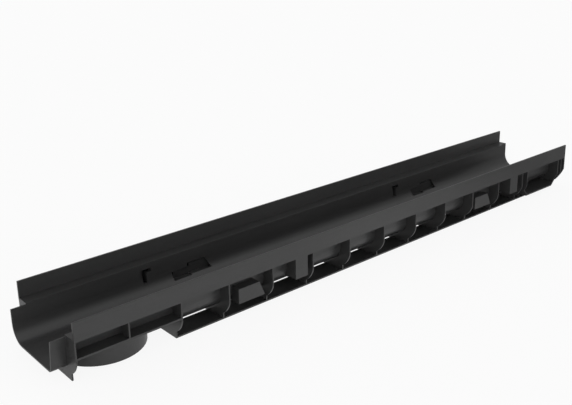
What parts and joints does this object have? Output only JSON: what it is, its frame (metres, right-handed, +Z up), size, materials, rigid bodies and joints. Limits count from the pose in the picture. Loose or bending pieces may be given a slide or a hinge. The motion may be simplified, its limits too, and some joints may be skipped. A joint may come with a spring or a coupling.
{
  "type": "drainage channel",
  "caption": "Ribbed moulded drainage channel with a round-cornered trough, grating seat between upright flanges, spigot and socket ends, and a pipe collar below.",
  "frame": {"origin": "middle of the channel's bounding box, on the plane that its feet stand on", "axes": "+X along the channel from the spigot end to the socket end, +Y across it, +Z up"},
  "size_m": [1.019, 0.145, 0.078],
  "materials": {
    "channel_plastic": "black moulded polypropylene, satin"
  },
  "bodies": {
    "root": {"channel_body": "channel_plastic"}
  },
  "joints": []
}
